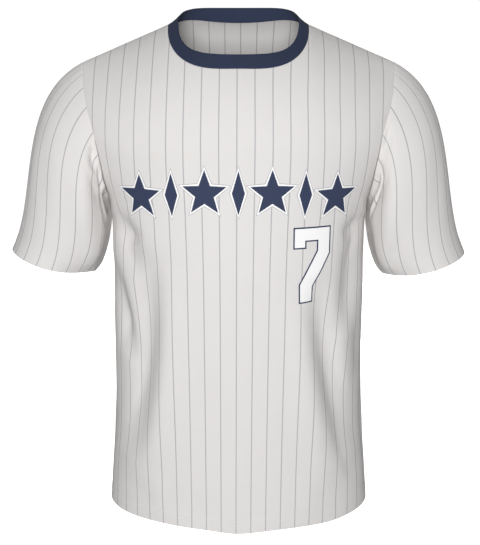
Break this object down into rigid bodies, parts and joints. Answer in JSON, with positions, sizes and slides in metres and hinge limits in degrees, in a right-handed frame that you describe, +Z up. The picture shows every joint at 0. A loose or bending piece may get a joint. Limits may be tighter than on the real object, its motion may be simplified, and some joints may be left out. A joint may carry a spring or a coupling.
{
  "type": "baseball t-shirt",
  "caption": "Hollow short-sleeved crew-neck sports t-shirt in knitted cloth, filled out as worn, with a rib neckband and open neck, cuffs and hem.",
  "frame": {"origin": "midway between the shoulders, 10 mm under the neck points, where the wearer's shoulders carry the garment", "axes": "+Z up along the garment's length, front faces -Y, +X towards the wearer's left sleeve"},
  "size_m": [0.689, 0.2442, 0.7768],
  "materials": {
    "body_jersey": "white knitted jersey with fine pale pinstripes, matt",
    "sleeve_jersey": "white knitted jersey with fine pale pinstripes, matt",
    "neck_rib": "navy rib knit, matt",
    "applique": "navy and white printed motifs, matt",
    "thread": "white sewing thread"
  },
  "bodies": {
    "root": {"front": "body_jersey", "back": "body_jersey", "sleeve_left": "sleeve_jersey", "sleeve_right": "sleeve_jersey", "collar": "neck_rib"}
  },
  "joints": []
}
